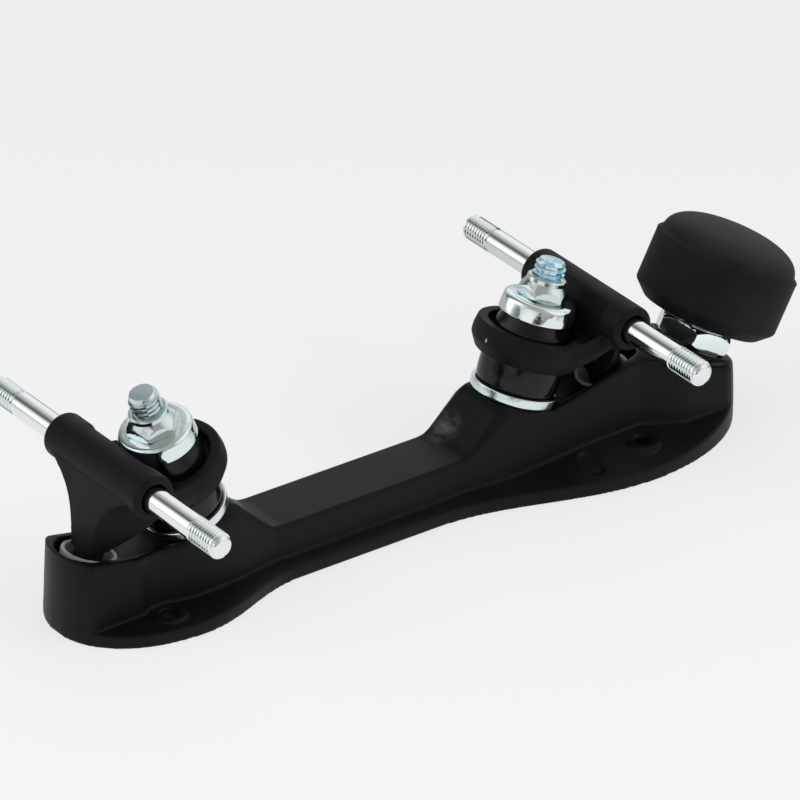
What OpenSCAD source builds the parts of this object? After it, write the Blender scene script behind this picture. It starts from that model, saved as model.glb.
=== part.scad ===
// Quad roller skate plate: moulded nylon sole plate with two sprung trucks and an
// adjustable toe stop, lying on its sole face. Origin on the sole face halfway between
// the axles, +X towards the toe, +Z away from the sole. Millimetres.

/* [Plate] */
// Distance between the two axles
wheelbase = 175; // [150:1:200]
// Height of the axles above the sole face
axle_h = 50; // [48:0.5:56]
// Plate beyond the rear axle
heel_reach = 18.7; // [18.2:0.1:26]
// Plate beyond the front axle
toe_reach = 53; // [50:0.5:62]
// Half width of the plate under the heel
heel_half_w = 25.8; // [23:0.2:32]
// Half width of the plate at the waist
waist_half_w = 15.8; // [14.6:0.2:20]
// Half width of the plate under the ball of the foot
toe_half_w = 30.8; // [27:0.2:38]
// Height of the flange at its rim
rim_h = 4.2; // [3:0.1:6]
// Rise of the front flange towards the middle, per mm
front_crown = 0.3; // [0.1:0.01:0.34]
// Rise of the rear flange towards the middle, per mm
rear_crown = 0.05; // [0.02:0.01:0.1]
// Half width of the spine's flat top
spine_half_w = 9.5; // [8:0.25:11]
// Height of the spine's top
spine_h = 16; // [14:0.5:20]
// Steepness of the ramps from the spine to the truck seats
ramp_angle = 44; // [38:1:60]
// Half width of the truck seats at their foot
seat_half_w = 13.8; // [13.4:0.1:16]
// Half width of the heel block at its foot
heel_block_half_w = 13; // [12.4:0.1:15]
// Half width of the toe stop block at its foot
toe_block_half_w = 18.6; // [17:0.2:22]
// Height of the wall round the heel
heel_wall_h = 27.2; // [26:0.2:32]
// Height of the crest in front of the front pivot
toe_crest_h = 31; // [30:0.2:34]
// Fall of the toe block's top from that crest to the toe, in degrees
toe_slope = 18.5; // [16:0.5:22]
// Draft of the moulded walls in degrees
wall_draft = 3; // [1:0.5:4]
// Thickness of the ribs under the spine
core_rib = 3; // [2:0.5:5]
// Nylon left above and beside the cores under the spine
core_wall = 3.2; // [2.5:0.1:5]

/* [Sole screws] */
// Diameter of the sole screw holes
screw_d = 5; // [4:0.1:6]
// Diameter of the raised pads round the screw holes
screw_pad_d = 10.6; // [9:0.2:11]
// Height of the pads over the flange
screw_pad_h = 0.6; // [0.3:0.1:1]
// Rear screw holes: distance inside the rear axle
rear_screw_in = 9.8; // [8:0.1:16]
// Rear screw holes: distance from the middle line
rear_screw_y = 16.5; // [16:0.1:18.5]
// Front screw holes: distance beyond the front axle
front_screw_out = 7.5; // [5:0.5:10]
// Front screw holes: distance from the middle line
front_screw_y = 20; // [19.6:0.1:22]

/* [Trucks] */
// Lean of the kingpins towards the ends of the plate
kingpin_tilt = 19; // [15:0.5:22]
// Distance from the kingpin to the axle, square to the kingpin
kingpin_offset = 17.9; // [17.5:0.1:20]
// Distance from the truck seat to the axle, along the kingpin
kingpin_rise = 31.5; // [31:0.1:33]
// Diameter of the kingpins
kingpin_d = 9.53; // [8:0.01:10]
// Kingpin from its seat to its tip
kingpin_reach = 44; // [43:0.1:50]
// Rear kingpin, nut and upper washer standing further out than the front ones
rear_lift = 2.2; // [0:0.1:2.5]
// Rear kingpin standing further out of its nut than the front one
rear_tip_out = 1.2; // [0:0.1:2]
// Seat of the kingpin's head below the truck seat
head_depth = 13.5; // [11:0.5:15]
// Height of the kingpin's head
head_h = 6; // [4:0.5:7]
// Width across flats of the kingpin's head and nut
kingpin_flats = 14.29; // [13:0.01:15]
// Height of the kingpin nut
kingpin_nut_h = 6.8; // [6:0.1:8.2]
// Turn of the front kingpin nut where it was tightened
front_nut_turn = 34; // [0:1:60]
// Turn of the rear kingpin nut where it was tightened
rear_nut_turn = 17; // [0:1:60]
// Middle of the hanger ring above the truck seat
ring_mid = 17.2; // [16.5:0.1:18.5]
// Thickness of the web in the hanger ring
ring_web = 3.6; // [3:0.1:4.5]
// Largest radius of the hanger ring
ring_r = 17.5; // [17:0.1:19.5]
// Depth of the ring's seat for the upper bushing
ring_top_lip = 2.9; // [2:0.1:3.5]
// Depth of the ring's seat for the lower bushing
ring_bottom_lip = 2.9; // [2:0.1:3.5]
// Diameter of the hanger's axle barrel
barrel_d = 14.2; // [13.4:0.1:15.4]
// Length of the hanger's axle barrel
barrel_len = 47.5; // [40:0.5:50]
// Distance of the pivot beyond the axle
pivot_out = 8.6; // [7.5:0.1:9]
// Distance of the pivot below the axle
pivot_drop = 32.5; // [32:0.1:33]
// Diameter of the pivot ball
ball_d = 10; // [9:0.1:10.6]
// Outer diameter of the pivot cups
cup_d = 17; // [16:0.1:17.4]
// Depth of the pivot cups below the ball's middle
cup_below = 7; // [6.4:0.1:8]
// Height of the pivot cups above the ball's middle
cup_above = 6.6; // [6:0.1:7]

/* [Axles] */
// Diameter of the axles
axle_d = 8; // [7:0.1:8]
// Diameter of the knurled middle of the axles, pressed into the hangers
knurl_d = 8.6; // [8.4:0.05:9]
// Length of the axles over both threaded ends
axle_len = 115.4; // [100:0.1:130]
// Chamfer at the ends of the axles
axle_chamfer = 0.8; // [0.4:0.1:1.2]

/* [Bushings and washers] */
// Diameter of the lower bushing, above its cup washer
lower_bushing_d = 25.6; // [24:0.1:26]
// Diameter of the upper bushing at its foot
upper_bushing_d = 23.6; // [22:0.1:25.6]
// Height of the lower cup washer
lower_washer_h = 3.2; // [2.4:0.1:4]
// Diameter of the upper cup washer
upper_washer_d = 23.8; // [22:0.1:24]
// Height of the upper cup washer
upper_washer_h = 5.7; // [4.4:0.1:6.2]
// Thickness of the washers' sheet
washer_t = 1.4; // [1:0.1:1.8]
// Gap between the ring's top edge and the upper cup washer
washer_gap = 4.1; // [3.6:0.1:5]

/* [Toe stop] */
// Lean of the toe stop towards the toe
stop_tilt = 28; // [24:0.5:31]
// Distance of the toe stop's seat beyond the front axle
stop_out = 41; // [39:0.1:42]
// Diameter of the toe stop's threaded stem
stem_d = 15.88; // [14:0.01:16]
// Width across flats of the jam nut
jam_flats = 22.22; // [21:0.01:25]
// Height of the jam nut
jam_h = 6.2; // [5:0.1:8]
// Turn of the jam nut where it was tightened
jam_turn = 50; // [0:1:60]
// Gap between the jam nut and the rubber
stop_gap = 2; // [1:0.1:4]
// Radius of the rubber at its flat underside
stop_foot_r = 18.6; // [16:0.1:19.5]
// Radius of the rubber at its lower edge
stop_edge_r = 23; // [20:0.1:24]
// Radius of the rubber at its upper lip
stop_lip_r = 23.3; // [20:0.1:25]
// Height of the slanted foot of the rubber
stop_foot_h = 4.1; // [3.6:0.1:8]
// Height of the side wall of the rubber
stop_wall_h = 16.8; // [14:0.1:22]
// Height of the rubber's dome over the lip
stop_dome_h = 9.4; // [6:0.1:12]
// Step at the lip, where the dome is set in
stop_lip_step = 1.5; // [0.3:0.1:1.8]
// Diameter of the threaded insert in the plate
insert_d = 21.6; // [20:0.1:23]
// Length of the threaded insert
insert_len = 13.4; // [11:0.1:13.6]

/* [Fits] */
// Radial gap of parts pressed or moulded together
press_gap = 0.02; // [0.01:0.01:0.05]
// Radial gap of turning and threaded fits
run_gap = 0.05; // [0.02:0.01:0.1]
// Radial gap of through bolts
bolt_gap = 0.2; // [0.1:0.05:0.4]
// Gap between a bushing and the hanger
bushing_gap = 0.1; // [0.05:0.05:0.3]
// Free room round moving parts
move_gap = 1.2; // [1:0.1:1.6]

/* [Hidden] */
$fn = 48;

nylon = "#26272b";
cast = "#2e2e31";
zinc = "#c9ccd0";
urethane = "#17171a";
acetal = "#b9bbb8";
rubber = "#1f1f20";

axle_x = wheelbase / 2;
heel_x = -axle_x - heel_reach;
toe_x = axle_x + toe_reach;
// Truck seat: the point where the kingpin leaves the plate
seat_x = axle_x - kingpin_rise * sin(kingpin_tilt) - kingpin_offset * cos(kingpin_tilt);
seat_z = axle_h - kingpin_rise * cos(kingpin_tilt) + kingpin_offset * sin(kingpin_tilt);
pivot_x = axle_x + pivot_out;
pivot_z = axle_h - pivot_drop;
pin_tilt = atan(pivot_out / pivot_drop);
pin_len = norm([pivot_out, pivot_drop]);

// Radii and stations along the kingpin
kingpin_r = kingpin_d / 2;
upper_washer_r = upper_washer_d / 2;
lower_bushing_r = lower_bushing_d / 2;
bushing_step = 0.8;
lower_foot_r = lower_bushing_r - bushing_step;
lower_washer_r = lower_foot_r + bushing_gap + washer_t;
web_low = ring_mid - ring_web / 2;
web_high = ring_mid + ring_web / 2;
ring_low = web_low - ring_bottom_lip;
ring_high = web_high + ring_top_lip;
washer_low = ring_high + washer_gap;
washer_high = washer_low + upper_washer_h;
ring_hole_r = kingpin_r + 2 * move_gap;
top_seat_r = upper_bushing_d / 2 + 1.5 * move_gap;
bottom_seat_margin = 0.8;
bottom_seat_r = lower_bushing_r + bottom_seat_margin;
barrel_r = barrel_d / 2;
axle_r = axle_d / 2;
knurl_r = knurl_d / 2;
ball_r = ball_d / 2;
cup_r = cup_d / 2;
stem_r = stem_d / 2;

// Toe stop seat on the slanted top of the toe block
crest_out = 12;
crest_x = axle_x + crest_out;
stop_x = axle_x + stop_out;
stop_boss_h = 1.1;
stop_z = toe_crest_h - (stop_x - crest_x) * tan(toe_slope) + stop_boss_h;
toe_wall_h = toe_crest_h - (toe_x - crest_x) * tan(toe_slope);
stop_seat_margin = 0.5;
stop_seat_r = jam_flats / sqrt(3) + stop_seat_margin;
stop_seat_t = 3;

// Height of the slanted truck seat at a distance from the middle of the plate
function seat_line(x) = seat_z - (x - seat_x) * tan(kingpin_tilt);
seat_margin = 0.8;
washer_overhang = 1.9;
brow_x = seat_x - (lower_washer_r - washer_overhang) * cos(kingpin_tilt);
brow_z = seat_line(brow_x);
ramp_x = brow_x - (brow_z - spine_h) / tan(ramp_angle);
front_low_out = 6;
front_low_x = seat_x + front_low_out;
rear_low_out = 9.5;
rear_low_x = seat_x + rear_low_out;
heel_low_in = 3.5;
heel_low_x = axle_x - heel_low_in;
heel_step = 4.4;
heel_notch = 1.8;
rear_floor = seat_line(rear_low_x);

// Outline of the sole: half width at a station
rear_wide_in = 17.5;
rear_wide_x = -axle_x + rear_wide_in;
waist_rear_in = 57.5;
waist_rear_x = -axle_x + waist_rear_in;
waist_front_in = 66;
waist_front_x = axle_x - waist_front_in;
front_wide_out = 4.5;
front_wide_x = axle_x + front_wide_out;
end_half_w = 3;
heel_power = 2.15;
toe_power = 2;
function swing(a, b, u) = a + (b - a) * (1 - cos(180 * u)) / 2;
function round_end(u, power) = pow(max(0, 1 - pow(u, power)), 1 / power);
function half_w(x) =
    x < rear_wide_x
    ? max(end_half_w, heel_half_w * round_end((rear_wide_x - x) / (rear_wide_x - heel_x), heel_power))
    : x < waist_rear_x ? swing(heel_half_w, waist_half_w, (x - rear_wide_x) / (waist_rear_x - rear_wide_x))
    : x < waist_front_x ? waist_half_w
    : x < front_wide_x
    ? swing(waist_half_w, toe_half_w, (x - waist_front_x) / (front_wide_x - waist_front_x))
    : max(end_half_w, toe_half_w * round_end((x - front_wide_x) / (toe_x - front_wide_x), toe_power));

// Flange top: rim height, and its rise towards the middle
function crown(x) = x < rear_wide_x ? rear_crown
    : x > waist_rear_x ? front_crown
    : swing(rear_crown, front_crown, (x - rear_wide_x) / (waist_rear_x - rear_wide_x));
function rim(x) = rim_h + (x > front_wide_x ? front_crown * (toe_half_w - half_w(x)) : 0);
function flange_top(x, y) = rim(x) + crown(x) * (half_w(x) - abs(y));

// Walls of the spine and blocks: half width at the foot, along the plate
spine_shoulder = 1;
brow_shoulder = 3;
block_shoulder = 1.2;
spine_foot = spine_half_w + (spine_h - rim_h) * tan(wall_draft) + spine_shoulder;
toe_flare = 13;
boss_flare = 8;
boss_waist = 0.8;
brow_waist = 0.6;
wall_foot = [[heel_x, heel_block_half_w], [-heel_low_x, heel_block_half_w],
             [-heel_low_x + heel_step, heel_block_half_w - heel_notch],
             [-seat_x - boss_flare, seat_half_w - boss_waist], [-seat_x, seat_half_w],
             [-brow_x, seat_half_w - brow_waist], [-ramp_x, spine_foot],
             [ramp_x, spine_foot], [brow_x, seat_half_w - brow_waist], [seat_x, seat_half_w],
             [crest_x, seat_half_w], [crest_x + toe_flare, toe_block_half_w], [toe_x, toe_block_half_w]];
// Softening of the walls' upper edges, along the plate
shoulder = [[heel_x, spine_shoulder], [-seat_x, spine_shoulder], [-brow_x, brow_shoulder],
            [-ramp_x, spine_shoulder], [ramp_x, spine_shoulder], [brow_x, brow_shoulder],
            [seat_x, spine_shoulder], [toe_x, block_shoulder]];

// Top of the walls from heel to toe: corners, each rounded over a length of both its legs
corners = [[heel_x, heel_wall_h], [-heel_low_x, rear_floor], [-rear_low_x, rear_floor], [-brow_x, brow_z],
           [-ramp_x, spine_h], [ramp_x, spine_h], [brow_x, brow_z], [front_low_x, seat_line(front_low_x)],
           [crest_x, toe_crest_h], [toe_x, toe_wall_h]];
rounding = [0, 2.5, 2, 2.6, 3, 3, 2.6, 4, 3, 0];
function rounded(i) =
    let (p = corners[i], l = rounding[i])
    l == 0 ? [p]
    : let (back = corners[i - 1] - p, on = corners[i + 1] - p, u = back / norm(back), v = on / norm(on))
      [p + l * u, p + l * (u + v) / 4, p + l * v];
wall_top = [for (i = [0:len(corners) - 1]) each rounded(i)];

// Stations along the plate, close together where the ends are round
marks = [for (p = wall_top) p[0]];
steps = 20;
spread = 6;
last_mark = len(marks) - 2;
toe_run = marks[last_mark + 1] - marks[last_mark];
stations = concat(
    [for (j = [0:steps - 1]) marks[0] + (marks[1] - marks[0]) * (1 - cos(90 * j / steps))],
    [for (i = [1:last_mark - 1]) let (n = ceil((marks[i + 1] - marks[i]) / spread))
        for (j = [0:n - 1]) marks[i] + (marks[i + 1] - marks[i]) * j / n],
    [for (j = [0:steps]) marks[last_mark] + toe_run * sin(90 * j / steps)]);

ledge = 0.15;
function section(x) =
    let (w = half_w(x), high = lookup(x, wall_top), edge = min(rim(x), high - 2),
         foot = min(lookup(x, wall_foot), w - ledge),
         crease = min(edge + crown(x) * (w - foot), high - 1),
         brow = foot - (high - crease) * tan(wall_draft) * min(1, foot / heel_block_half_w),
         soft = min(lookup(x, shoulder), (high - crease) / 3, brow / 3))
    [[x, -w, 0], [x, -w, edge], [x, -foot, crease], [x, -brow, high - soft], [x, soft - brow, high],
     [x, brow - soft, high], [x, brow, high - soft], [x, foot, crease], [x, w, edge], [x, w, 0]];

// Solid through a list of like sections, each a ring of points
module loft(rings) {
    n = len(rings[0]);
    last = (len(rings) - 1) * n;
    polyhedron(
        points = [for (r = rings) each r],
        faces = concat(
            [[for (j = [n - 1:-1:0]) j]],
            [for (i = [0:len(rings) - 2], j = [0:n - 1])
                [i * n + j, i * n + (j + 1) % n, (i + 1) * n + (j + 1) % n]],
            [for (i = [0:len(rings) - 2], j = [0:n - 1])
                [i * n + j, (i + 1) * n + (j + 1) % n, (i + 1) * n + j]],
            [[for (j = [0:n - 1]) last + j]]));
}

// Places: each truck is drawn at the front, and mirrored for the rear
module at_rear() {
    mirror([1, 0, 0]) children();
}
module at_kingpin(t = 0) {
    translate([seat_x, 0, seat_z]) rotate([0, kingpin_tilt, 0]) translate([0, 0, t]) children();
}
module at_pivot(w = 0) {
    translate([pivot_x, 0, pivot_z]) rotate([0, -pin_tilt, 0]) translate([0, 0, w]) children();
}
module at_stop(h = 0) {
    translate([stop_x, 0, stop_z]) rotate([0, stop_tilt, 0]) translate([0, 0, h]) children();
}
module at_axle() {
    translate([axle_x, 0, axle_h]) rotate([90, 0, 0]) children();
}

// Outline in X and Z drawn across the plate
module across(half, points) {
    rotate([90, 0, 0]) translate([0, 0, -half]) linear_extrude(2 * half) polygon(points);
}
// Turned solid, the same at both ends, from half of its outline
module turned_both(half) {
    n = len(half);
    rotate_extrude()
        polygon(concat(half, [for (i = [n - 1:-1:0]) [half[i][0], -half[i][1]]]));
}
module hexagon(flats, h) {
    cylinder(h = h, r = flats / sqrt(3), $fn = 6);
}

// Room for the hanger's arm between the walls of a block, with the pivot cup's socket
front_trough_half_w = 10.6;
rear_trough_half_w = 8.6;
trough_end_margin = 0.5;
trough_end_r = cup_r + trough_end_margin;
trough_start_out = 3;
trough_start_x = seat_x + trough_start_out;
trough_floor_x = seat_x + (lower_washer_r + seat_margin) * cos(kingpin_tilt);
cup_rim_z = pivot_z + cup_above * cos(pin_tilt) - cup_r * sin(pin_tilt);
above_all = axle_h;
module truck_cuts(trough_half_w) {
    at_kingpin(0) cylinder(h = ring_low, r = lower_washer_r + seat_margin);
    at_kingpin(-head_depth) cylinder(h = 2 * head_depth, r = kingpin_r + bolt_gap);
    at_kingpin(-head_depth) mirror([0, 0, 1]) hexagon(kingpin_flats + 2 * bolt_gap, seat_z);
    intersection() {
        across(trough_half_w, [[trough_start_x, seat_line(trough_start_x)],
                               [trough_floor_x, seat_line(trough_floor_x)],
                               [pivot_x, cup_rim_z], [pivot_x + cup_d, cup_rim_z],
                               [pivot_x + cup_d, above_all], [trough_start_x, above_all]]);
        linear_extrude(2 * above_all) union() {
            polygon([[trough_start_x, -trough_half_w], [axle_x, -trough_half_w], [pivot_x, -trough_end_r],
                     [pivot_x, trough_end_r], [axle_x, trough_half_w], [trough_start_x, trough_half_w]]);
            translate([pivot_x, 0]) circle(r = trough_end_r);
        }
    }
    at_pivot(-cup_below) cylinder(h = axle_h, r = cup_r + press_gap);
}

module screw_places() {
    for (side = [-1, 1]) {
        translate([-axle_x + rear_screw_in, side * rear_screw_y, 0])
            children(0);
        translate([axle_x + front_screw_out, side * front_screw_y, 0])
            children(1);
    }
}
rear_pad_h = flange_top(-axle_x + rear_screw_in, rear_screw_y) + screw_pad_h;
front_pad_h = flange_top(axle_x + front_screw_out, front_screw_y) + screw_pad_h;

// Cores under the spine, between cross ribs
core_count = 4;
core_len = (2 * ramp_x - (core_count + 1) * core_rib) / core_count;
module spine_cores() {
    for (i = [0:core_count - 1])
        translate([-ramp_x + core_rib + i * (core_len + core_rib), core_wall - spine_half_w, -1])
            cube([core_len, 2 * (spine_half_w - core_wall), spine_h - core_wall + 1]);
}

// Plain oval recess in the flange on each side, ahead of the spine
mark_in = 12.2;
mark_y = 20.4;
mark_len = 10;
mark_w = 5;
mark_depth = 0.7;
mark_z = flange_top(axle_x - mark_in, mark_y) - mark_depth;
module flange_marks() {
    for (side = [-1, 1])
        translate([axle_x - mark_in, side * mark_y, mark_z])
            rotate([-side * atan(front_crown), 0, 0])
                linear_extrude(3 * mark_depth)
                    hull() for (end = [-1, 1])
                        translate([0, end * (mark_len - mark_w) / 2]) circle(d = mark_w);
}

module sole_plate() color(nylon) difference() {
    union() {
        loft([for (x = stations) section(x)]);
        at_stop(-stop_seat_t) cylinder(h = stop_seat_t, r = stop_seat_r);
        screw_places() {
            cylinder(h = rear_pad_h, d = screw_pad_d);
            cylinder(h = front_pad_h, d = screw_pad_d);
        }
    }
    truck_cuts(front_trough_half_w);
    at_rear() truck_cuts(rear_trough_half_w);
    at_stop() cylinder(h = above_all, r = stop_seat_r + stop_seat_margin);
    at_stop(-insert_len) cylinder(h = insert_len + axle_h, d = insert_d + 2 * press_gap);
    screw_places() {
        translate([0, 0, -1]) cylinder(h = above_all, d = screw_d);
        translate([0, 0, -1]) cylinder(h = above_all, d = screw_d);
    }
    spine_cores();
    flange_marks();
}

tip_chamfer = 1;
module kingpin(lift = 0) color(zinc) at_kingpin() {
    translate([0, 0, -head_depth - head_h]) hexagon(kingpin_flats, head_h);
    translate([0, 0, -head_depth])
        cylinder(h = head_depth + kingpin_reach + lift - tip_chamfer, r = kingpin_r);
    translate([0, 0, kingpin_reach + lift - tip_chamfer])
        cylinder(h = tip_chamfer, r1 = kingpin_r, r2 = kingpin_r - tip_chamfer);
}

// Lock nut: hexagon turned to a chamfer below and to a long cone and a collar above
nut_foot_in = 0.15;
nut_foot_rise = 0.75;
nut_corner_h = 1.75;
nut_collar = 1.6;
nut_collar_in = 1.05;
nut_break = 0.4;
nut_clear = 0.1;
nut_wide = kingpin_flats / sqrt(3) + nut_clear;
nut_collar_r = kingpin_flats / 2 - nut_collar_in;
module kingpin_nut(turn, lift = 0) color(zinc) at_kingpin(washer_high + lift) difference() {
    intersection() {
        rotate([0, 0, turn]) hexagon(kingpin_flats, kingpin_nut_h);
        rotate_extrude()
            polygon([[0, 0], [kingpin_flats / 2 - nut_foot_in, 0], [nut_wide, nut_foot_rise],
                     [nut_wide, nut_corner_h], [nut_collar_r, kingpin_nut_h - nut_collar],
                     [nut_collar_r, kingpin_nut_h - nut_break],
                     [nut_collar_r - nut_break, kingpin_nut_h], [0, kingpin_nut_h]]);
    }
    translate([0, 0, -1]) cylinder(h = kingpin_nut_h + 2, r = kingpin_r + run_gap);
}

// Cup washer with its sheet on the plane and its rim standing up
module cup_washer(r, rim_r, h) {
    rotate_extrude()
        polygon([[kingpin_r + bolt_gap, 0], [r - washer_t / 2, 0], [r, washer_t / 2], [rim_r, h],
                 [rim_r - washer_t, h], [r - washer_t, washer_t], [kingpin_r + bolt_gap, washer_t]]);
}
washer_flare = 0.3;
module upper_washer(lift = 0) color(zinc) at_kingpin(washer_high + lift) mirror([0, 0, 1])
    cup_washer(upper_washer_r - washer_flare, upper_washer_r, upper_washer_h);
module lower_washer() color(zinc) at_kingpin() cup_washer(lower_washer_r, lower_washer_r, lower_washer_h);

// Bushings: the lower is a drum, the upper a short cone
bushing_bore = kingpin_r + bolt_gap;
bushing_round = 1;
module lower_bushing() color(urethane) at_kingpin() rotate_extrude()
    polygon([[bushing_bore, washer_t], [lower_foot_r, washer_t], [lower_foot_r, lower_washer_h],
             [lower_bushing_r, lower_washer_h + bushing_round],
             [lower_bushing_r, web_low - bushing_gap - bushing_round],
             [lower_bushing_r - bushing_round, web_low - bushing_gap],
             [bushing_bore, web_low - bushing_gap]]);
upper_foot_r = upper_bushing_d / 2;
upper_top_r = upper_washer_r - washer_t - washer_flare - bushing_gap;
module upper_bushing(lift = 0) color(urethane) at_kingpin() rotate_extrude()
    polygon([[bushing_bore, web_high + bushing_gap],
             [upper_foot_r - bushing_round, web_high + bushing_gap],
             [upper_foot_r, web_high + bushing_gap + bushing_round], [upper_foot_r, ring_high],
             [upper_top_r, washer_low + lift], [upper_top_r, washer_high + lift - washer_t],
             [bushing_bore, washer_high + lift - washer_t]]);

cup_lip = 1.2;
mouth_over = 0.1;
module pivot_cup() color(acetal) at_pivot() difference() {
    translate([0, 0, -cup_below]) cylinder(h = cup_below + cup_above, r = cup_r);
    sphere(r = ball_r + run_gap);
    cylinder(h = cup_above + mouth_over, r1 = ball_r + run_gap, r2 = cup_r - cup_lip);
}

// Hanger: ring, yoke up to the barrel, and the flared arm that ends in the pivot ball
arm_neck_in = 0.6;
arm_neck_r = ball_r - arm_neck_in;
arm_neck_half_w = 4.8;
arm_front_half_w = 3.2;
arm_back_half_w = 11;
arm_back_power = 1.5;
arm_flare = 9;
arm_flare_power = 4.5;
arm_belly = 0.6;
arm_skin = 0.4;
neck_rise = 2.1;
arm_low = ball_r + neck_rise;
arm_high_in = 3;
arm_high = pin_len - arm_high_in;
arm_end_in = 1.2;
arm_top_w = barrel_len / 2 - arm_end_in;
arm_steps = 12;
neck_over = 4;
// Cross section of the arm at a share of its height, narrow at the ball and wide at the barrel
function arm_ring(s) =
    let (w = arm_low + s * (arm_high - arm_low),
         low = arm_neck_r - arm_neck_in,
         in = low + (barrel_r - arm_skin - low) * sin(90 * s),
         out = low + (barrel_r - arm_skin - low) * s,
         in_w = arm_front_half_w + (arm_top_w - arm_front_half_w) * (s + sin(90 * s)) / 2,
         out_w = arm_neck_half_w + (arm_back_half_w - arm_neck_half_w) * pow(s, arm_back_power)
               + arm_flare * pow(s, arm_flare_power),
         mid_w = (in_w + out_w) / 2 + arm_belly)
    [[-in, in_w, w], [0, mid_w, w], [out, out_w, w], [out, -out_w, w], [0, -mid_w, w], [-in, -in_w, w]];
// Ring: flat sides that slope in a little at the top and more at the foot
ring_foot_wall = 1.8;
ring_low_edge = ring_mid - 1;
ring_high_edge = ring_mid + 1.4;
ring_top_in = 0.7;
ring_foot_r = bottom_seat_r + ring_foot_wall;
ring_top_r = ring_r - ring_top_in;
module ring_profile() {
    polygon([[ring_hole_r, web_low], [bottom_seat_r, web_low], [bottom_seat_r, ring_low],
             [ring_foot_r, ring_low], [ring_r, ring_low_edge], [ring_r, ring_high_edge],
             [ring_top_r, ring_high], [top_seat_r, ring_high], [top_seat_r, web_high],
             [ring_hole_r, web_high]]);
}
// Cross section of the yoke, from the middle of the ring to the middle of the barrel
yoke_steps = 8;
yoke_end_in = 2.4;
yoke_end_w = barrel_len / 2 - yoke_end_in;
yoke_foot_power = 1.5;
yoke_top_power = 2;
yoke_foot_end = kingpin_rise - barrel_r / 2;
function yoke_ring(s) =
    let (w = swing(ring_r, yoke_end_w, s), foot_w = w - (ring_r - ring_foot_r) * (1 - s),
         low = ring_low + (yoke_foot_end - ring_low) * pow(s, yoke_foot_power),
         high = ring_high + (kingpin_rise - ring_high) * pow(s, yoke_top_power),
         mid = low + (high - low) / 2, x = s * kingpin_offset)
    [[x, -w + ring_top_in, high], [x, w - ring_top_in, high], [x, w, mid],
     [x, foot_w, low], [x, -foot_w, low], [x, -w, mid]];
// Rib under the yoke, from the ring to the arm
rib_half_w = 9;
rib_in = 6;
rib_foot = ring_low + 1.2;
rib_end = kingpin_offset + barrel_r;
rib_end_h = ring_low + 5;
// Barrel: rounded ends, each with a shallow recess round the axle
barrel_round = 0.9;
recess_margin = 0.6;
recess_r = axle_r + recess_margin;
recess_depth = 1;
knurl_half = barrel_len / 2 - recess_depth;
groove_in = 0.3;
axle_stand = 0.5;
axle_start = barrel_len / 2 + axle_stand;
module barrel() {
    turned_both([[barrel_r, barrel_len / 2 - barrel_round], [barrel_r - barrel_round, barrel_len / 2],
                 [recess_r, barrel_len / 2], [recess_r, knurl_half], [0, knurl_half]]);
}
relief_half_w = upper_washer_r + 3 * move_gap;
module hanger() color(cast) difference() {
    union() {
        at_kingpin() rotate_extrude() ring_profile();
        at_kingpin() loft([for (i = [0:yoke_steps]) yoke_ring(i / yoke_steps)]);
        at_kingpin()
            across(rib_half_w, [[ring_r - rib_in, rib_foot], [ring_r, rib_foot], [rib_end, rib_end_h],
                                [kingpin_offset, kingpin_rise], [ring_r - rib_in, ring_high]]);
        at_pivot() loft([for (i = [0:arm_steps]) arm_ring(i / arm_steps)]);
        at_pivot() cylinder(h = arm_low + neck_over, r = arm_neck_r);
        at_pivot() sphere(r = ball_r);
        at_axle() barrel();
    }
    at_axle() cylinder(h = axle_len, r = knurl_r + press_gap, center = true);
    at_kingpin(web_high) cylinder(h = washer_low - web_high, r = top_seat_r);
    at_kingpin(ring_low - ring_bottom_lip)
        cylinder(h = web_low - ring_low + ring_bottom_lip, r = bottom_seat_r);
    at_kingpin() cylinder(h = kingpin_rise, r = ring_hole_r);
    at_kingpin(ring_high + 1) translate([-relief_half_w, -relief_half_w, 0])
        cube([relief_half_w + upper_washer_r + move_gap, 2 * relief_half_w, kingpin_rise]);
}

module axle() color(zinc) at_axle()
    turned_both([[knurl_r, knurl_half], [axle_r - groove_in, knurl_half], [axle_r - groove_in, axle_start],
                 [axle_r, axle_start], [axle_r, axle_len / 2 - axle_chamfer],
                 [axle_r - axle_chamfer, axle_len / 2], [0, axle_len / 2]]);

// Toe stop: insert in the plate, jam nut, stem with its moulded-in disc, rubber
stem_in = insert_len - 1;
stop_low = jam_h + stop_gap;
disc_low = stop_low + stop_foot_h;
disc_t = 3;
disc_in = 3;
disc_r = stop_foot_r - disc_in;
stem_top = disc_low + disc_t;
module toe_stop_insert() color(zinc) at_stop(-insert_len) difference() {
    cylinder(h = insert_len, d = insert_d);
    translate([0, 0, -1]) cylinder(h = insert_len + 2, r = stem_r + run_gap);
}
jam_chamfer = 1.3;
jam_face_out = 0.2;
jam_face_r = jam_flats / 2 + jam_face_out;
module toe_stop_nut() color(zinc) at_stop() difference() {
    intersection() {
        rotate([0, 0, jam_turn]) hexagon(jam_flats, jam_h);
        union() {
            cylinder(h = jam_chamfer, r1 = jam_face_r, r2 = jam_flats / sqrt(3));
            translate([0, 0, jam_chamfer]) cylinder(h = jam_h - 2 * jam_chamfer, r = jam_flats);
            translate([0, 0, jam_h - jam_chamfer])
                cylinder(h = jam_chamfer, r1 = jam_flats / sqrt(3), r2 = jam_face_r);
        }
    }
    translate([0, 0, -1]) cylinder(h = jam_h + 2, r = stem_r + run_gap);
}
module toe_stop_stem() color(zinc) at_stop() {
    translate([0, 0, -stem_in]) cylinder(h = stem_in + stem_top, r = stem_r);
    translate([0, 0, disc_low]) cylinder(h = disc_t, r = disc_r);
}
dome_points = 14;
dome_power = 0.8;
stop_edge_h = stop_low + stop_foot_h;
stop_lip_h = stop_edge_h + stop_wall_h;
disc_gap = 0.3;
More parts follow.
